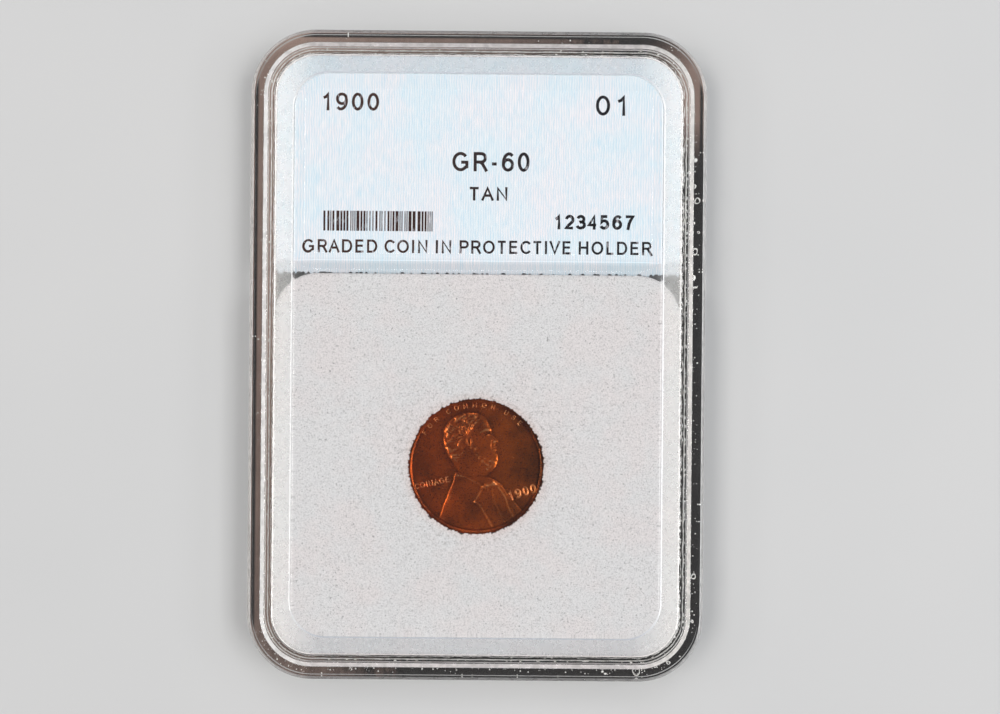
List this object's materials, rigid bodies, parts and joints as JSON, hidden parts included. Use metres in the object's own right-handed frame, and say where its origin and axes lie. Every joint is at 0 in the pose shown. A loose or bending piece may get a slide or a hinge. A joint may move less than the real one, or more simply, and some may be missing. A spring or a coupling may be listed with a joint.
{
  "type": "graded coin slab",
  "caption": "Clear rounded-corner coin holder of two welded shells, with a printed label card at the top and a small bronze coin gripped in a foam insert.",
  "frame": {"origin": "centre of the rear rim's flat plane, on which the slab lies", "axes": "+Z out of the front window, +Y towards the end that holds the label, +X to the right as the label is read"},
  "size_m": [0.0636, 0.0904, 0.0075],
  "materials": {
    "clear_shell": "gloss",
    "weld": "satin",
    "foam": "matte",
    "label_card": "matte",
    "coin_bronze": "satin"
  },
  "bodies": {
    "holder": {"front_shell": "clear_shell", "rear_shell": "clear_shell", "weld_bead": "weld", "foam_insert": "foam", "label_front": "label_card", "label_rear": "label_card"},
    "coin": {"coin": "coin_bronze"}
  },
  "joints": [
    {"name": "coin_turn", "type": "hinge", "parent": "holder", "child": "coin", "pos_m": [0, -0.0155, 0.00375], "axis": [0, 0, 1], "continuous": true}
  ]
}
